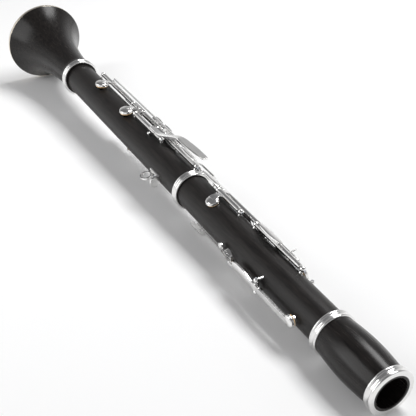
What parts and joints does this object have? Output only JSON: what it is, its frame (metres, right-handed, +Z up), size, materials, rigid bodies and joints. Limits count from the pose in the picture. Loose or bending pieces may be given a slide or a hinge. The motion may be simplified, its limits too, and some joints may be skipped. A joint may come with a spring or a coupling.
{
  "type": "clarinet",
  "caption": "Black wooden soprano clarinet with silver keywork and bell, without its mouthpiece; keys rock and turn on rods, joints pull apart.",
  "frame": {"origin": "centre of the mouthpiece socket's mouth, on the bore's axis", "axes": "the instrument lies on its side, as on a table; +X points out of the mouthpiece socket, +Z up, and the finger holes face +Y, a little upwards; the bore rises 2.1 degrees towards the bell"},
  "size_m": [0.5966, 0.0784, 0.0789],
  "materials": {
    "grenadilla": "black, oiled, satin",
    "silver_plate": "bright silver plate",
    "champagne_plate": "polished, pale champagne plate",
    "steel": "ground and blued lightly",
    "cork": "sanded natural cork, greased",
    "pad_skin": "tan fish skin over felt"
  },
  "bodies": {
    "lower": {"lower_joint": "grenadilla", "lower_socket_ring": "silver_plate", "bell_tenon_cork": "cork", "thumb_rest": "silver_plate", "thumb_rest_screws": "steel", "lower_posts": "silver_plate", "lower_rods": "steel", "lower_needle_springs": "steel"},
    "bell": {"bell": "grenadilla", "bell_mouth_ring": "champagne_plate", "bell_socket_ring": "silver_plate"},
    "upper": {"upper_joint": "grenadilla", "upper_tenon_corks": "cork", "register_vent": "silver_plate", "thumb_tube": "silver_plate", "upper_posts": "silver_plate", "upper_rods": "steel", "upper_needle_springs": "steel"},
    "barrel": {"barrel": "grenadilla", "barrel_rings": "silver_plate"},
    "register": {"register_key": "silver_plate", "register_pad": "pad_skin"},
    "a": {"a_key": "silver_plate", "a_pad": "pad_skin"},
    "g_sharp": {"g_sharp_key": "silver_plate", "g_sharp_pad": "pad_skin"},
    "thumb_ring": {"thumb_ring_key": "silver_plate", "thumb_ring_pad": "pad_skin"},
    "first_ring": {"first_ring_key": "silver_plate", "first_ring_pad": "pad_skin"},
    "second_ring": {"second_ring_key": "silver_plate", "second_ring_pad": "pad_skin"},
    "upper_trill": {"upper_trill_key": "silver_plate", "upper_trill_pad": "pad_skin"},
    "lower_trill": {"lower_trill_key": "silver_plate", "lower_trill_pad": "pad_skin"},
    "side_f_sharp": {"side_f_sharp_key": "silver_plate", "side_f_sharp_pad": "pad_skin"},
    "side_b_flat": {"side_b_flat_key": "silver_plate", "side_b_flat_pad": "pad_skin"},
    "c_sharp": {"c_sharp_key": "silver_plate", "c_sharp_pad": "pad_skin"},
    "left_sliver": {"left_sliver_key": "silver_plate", "left_sliver_pad": "pad_skin"},
    "right_ring": {"right_ring_key": "silver_plate", "right_ring_pad": "pad_skin"},
    "right_sliver": {"right_sliver_key": "silver_plate", "right_sliver_pad": "pad_skin"},
    "e_flat": {"e_flat_key": "silver_plate", "e_flat_pad": "pad_skin"},
    "f": {"f_key": "silver_plate", "f_pad": "pad_skin"},
    "f_sharp": {"f_sharp_key": "silver_plate", "f_sharp_pad": "pad_skin"},
    "e": {"e_key": "silver_plate", "e_pad": "pad_skin"},
    "left_f_sharp_lever": {"left_f_sharp_lever": "silver_plate"},
    "left_e_lever": {"left_e_lever": "silver_plate"},
    "right_f_sharp_rocker": {"right_f_sharp_rocker": "silver_plate"},
    "right_e_rocker": {"right_e_rocker": "silver_plate"}
  },
  "joints": [
    {"name": "bell_tenon_slide", "type": "slide", "parent": "lower", "child": "bell", "axis": [-0.9993, 0, 0.0371], "range_m": [0, 0.022]},
    {"name": "middle_tenon_slide", "type": "slide", "parent": "lower", "child": "upper", "axis": [0.9993, 0, -0.0371], "range_m": [0, 0.022]},
    {"name": "top_tenon_slide", "type": "slide", "parent": "upper", "child": "barrel", "axis": [0.9993, 0, -0.0371], "range_m": [0, 0.02]},
    {"name": "register_pivot", "type": "hinge", "parent": "upper", "child": "register", "pos_m": [-0.12793, -0.01809, 0.00412], "axis": [-0.0371, 0.0349, -0.9987], "range_deg": [0, 4], "stiffness_Nm_per_rad": 0.05, "springref_deg": -11.46},
    {"name": "a_pivot", "type": "hinge", "parent": "upper", "child": "a", "pos_m": [-0.1136, 0.01816, -0.00065], "axis": [0.0359, 0.2588, 0.9653], "range_deg": [0, 6], "stiffness_Nm_per_rad": 0.02, "springref_deg": -11.46},
    {"name": "g_sharp_hinge", "type": "hinge", "parent": "upper", "child": "g_sharp", "pos_m": [-0.14133, 0.0089, 0.02068], "axis": [0.9993, 0, -0.0371], "range_deg": [0, 9], "stiffness_Nm_per_rad": 0.01, "springref_deg": -11.46},
    {"name": "thumb_ring_hinge", "type": "hinge", "parent": "upper", "child": "thumb_ring", "pos_m": [-0.16497, -0.00863, -0.00945], "axis": [-0.9993, 0, 0.0371], "range_deg": [0, 5], "stiffness_Nm_per_rad": 0.01, "springref_deg": -11.46},
    {"name": "first_ring_hinge", "type": "hinge", "parent": "upper", "child": "first_ring", "pos_m": [-0.14244, 0.0128, 0.01767], "axis": [-0.9993, 0, 0.0371], "range_deg": [0, 7], "stiffness_Nm_per_rad": 0.01, "springref_deg": -11.46},
    {"name": "second_ring_hinge", "type": "hinge", "parent": "upper", "child": "second_ring", "pos_m": [-0.2004, 0.0128, 0.01982], "axis": [-0.9993, 0, 0.0371], "range_deg": [0, 7], "stiffness_Nm_per_rad": 0.01, "springref_deg": -11.46},
    {"name": "c_sharp_hinge", "type": "hinge", "parent": "upper", "child": "c_sharp", "pos_m": [-0.20724, 0.00609, 0.02444], "axis": [-0.9993, 0, 0.0371], "range_deg": [0, 12], "stiffness_Nm_per_rad": 0.01, "springref_deg": -11.46},
    {"name": "left_sliver_hinge", "type": "hinge", "parent": "upper", "child": "left_sliver", "pos_m": [-0.18466, 0.016, -0.00094], "axis": [0.9993, 0, -0.0371], "range_deg": [0, 7], "stiffness_Nm_per_rad": 0.01, "springref_deg": -11.46},
    {"name": "upper_trill_pivot", "type": "hinge", "parent": "upper", "child": "upper_trill", "pos_m": [-0.16547, 0.01415, -0.00958], "axis": [0.0249, 0.7431, 0.6687], "range_deg": [0, 2.5], "stiffness_Nm_per_rad": 0.15, "springref_deg": -11.46},
    {"name": "lower_trill_pivot", "type": "hinge", "parent": "upper", "child": "lower_trill", "pos_m": [-0.1656, 0.00894, -0.01303], "axis": [0.0157, 0.9063, 0.4223], "range_deg": [0, 2.5], "stiffness_Nm_per_rad": 0.15, "springref_deg": -11.46},
    {"name": "side_f_sharp_pivot", "type": "hinge", "parent": "upper", "child": "side_f_sharp", "pos_m": [-0.16566, 0.00294, -0.0148], "axis": [0.0052, 0.9903, 0.1391], "range_deg": [0, 2.5], "stiffness_Nm_per_rad": 0.15, "springref_deg": -11.46},
    {"name": "side_b_flat_pivot", "type": "hinge", "parent": "upper", "child": "side_b_flat", "pos_m": [-0.16566, -0.00331, -0.01475], "axis": [-0.0058, 0.9877, -0.1563], "range_deg": [0, 2.5], "stiffness_Nm_per_rad": 0.15, "springref_deg": -11.46},
    {"name": "right_ring_hinge", "type": "hinge", "parent": "lower", "child": "right_ring", "pos_m": [-0.2997, 0.00845, 0.02704], "axis": [-0.9993, 0, 0.0371], "range_deg": [0, 7], "stiffness_Nm_per_rad": 0.01, "springref_deg": -11.46},
    {"name": "right_sliver_hinge", "type": "hinge", "parent": "lower", "child": "right_sliver", "pos_m": [-0.31476, 0.0125, -0.00126], "axis": [0.9993, 0, -0.0371], "range_deg": [0, 10], "stiffness_Nm_per_rad": 0.01, "springref_deg": -11.46},
    {"name": "e_flat_hinge", "type": "hinge", "parent": "lower", "child": "e_flat", "pos_m": [-0.35486, 0.00789, -0.003], "axis": [0.9993, 0, -0.0371], "range_deg": [0, 12], "stiffness_Nm_per_rad": 0.01, "springref_deg": -11.46},
    {"name": "f_hinge", "type": "hinge", "parent": "lower", "child": "f", "pos_m": [-0.39383, 0.00789, -0.00155], "axis": [0.9993, 0, -0.0371], "range_deg": [0, 8], "stiffness_Nm_per_rad": 0.01, "springref_deg": -11.46},
    {"name": "f_sharp_hinge", "type": "hinge", "parent": "lower", "child": "f_sharp", "pos_m": [-0.36477, 0.0125, 0.02652], "axis": [0.9993, 0, -0.0371], "range_deg": [0, 11], "stiffness_Nm_per_rad": 0.01, "springref_deg": -11.46},
    {"name": "e_hinge", "type": "hinge", "parent": "lower", "child": "e", "pos_m": [-0.42672, 0.0125, 0.02882], "axis": [0.9993, 0, -0.0371], "range_deg": [0, 11], "stiffness_Nm_per_rad": 0.01, "springref_deg": -11.46},
    {"name": "left_f_sharp_lever_hinge", "type": "hinge", "parent": "lower", "child": "left_f_sharp_lever", "pos_m": [-0.3416, 0.00188, 0.03061], "axis": [-0.9993, 0, 0.0371], "range_deg": [0, 14], "stiffness_Nm_per_rad": 0.01, "springref_deg": -11.46},
    {"name": "left_e_lever_hinge", "type": "hinge", "parent": "lower", "child": "left_e_lever", "pos_m": [-0.3138, 0.0125, 0.02462], "axis": [0.9993, 0, -0.0371], "range_deg": [0, 11], "stiffness_Nm_per_rad": 0.01, "springref_deg": -11.46},
    {"name": "right_f_sharp_rocker_hinge", "type": "hinge", "parent": "lower", "child": "right_f_sharp_rocker", "pos_m": [-0.34801, 0.01669, 0.01968], "axis": [-0.9993, 0, 0.0371], "range_deg": [0, 11], "stiffness_Nm_per_rad": 0.01, "springref_deg": -11.46},
    {"name": "right_e_rocker_hinge", "type": "hinge", "parent": "lower", "child": "right_e_rocker", "pos_m": [-0.369, 0.01669, 0.02046], "axis": [-0.9993, 0, 0.0371], "range_deg": [0, 11], "stiffness_Nm_per_rad": 0.01, "springref_deg": -11.46}
  ],
  "couplings": [
    {"joint": "left_f_sharp_lever_hinge", "follows": "f_sharp_hinge", "ratio": 1.2727},
    {"joint": "right_f_sharp_rocker_hinge", "follows": "f_sharp_hinge", "ratio": 1},
    {"joint": "left_e_lever_hinge", "follows": "e_hinge", "ratio": 1},
    {"joint": "right_e_rocker_hinge", "follows": "e_hinge", "ratio": 1},
    {"joint": "second_ring_hinge", "follows": "right_ring_hinge", "ratio": 1}
  ]
}
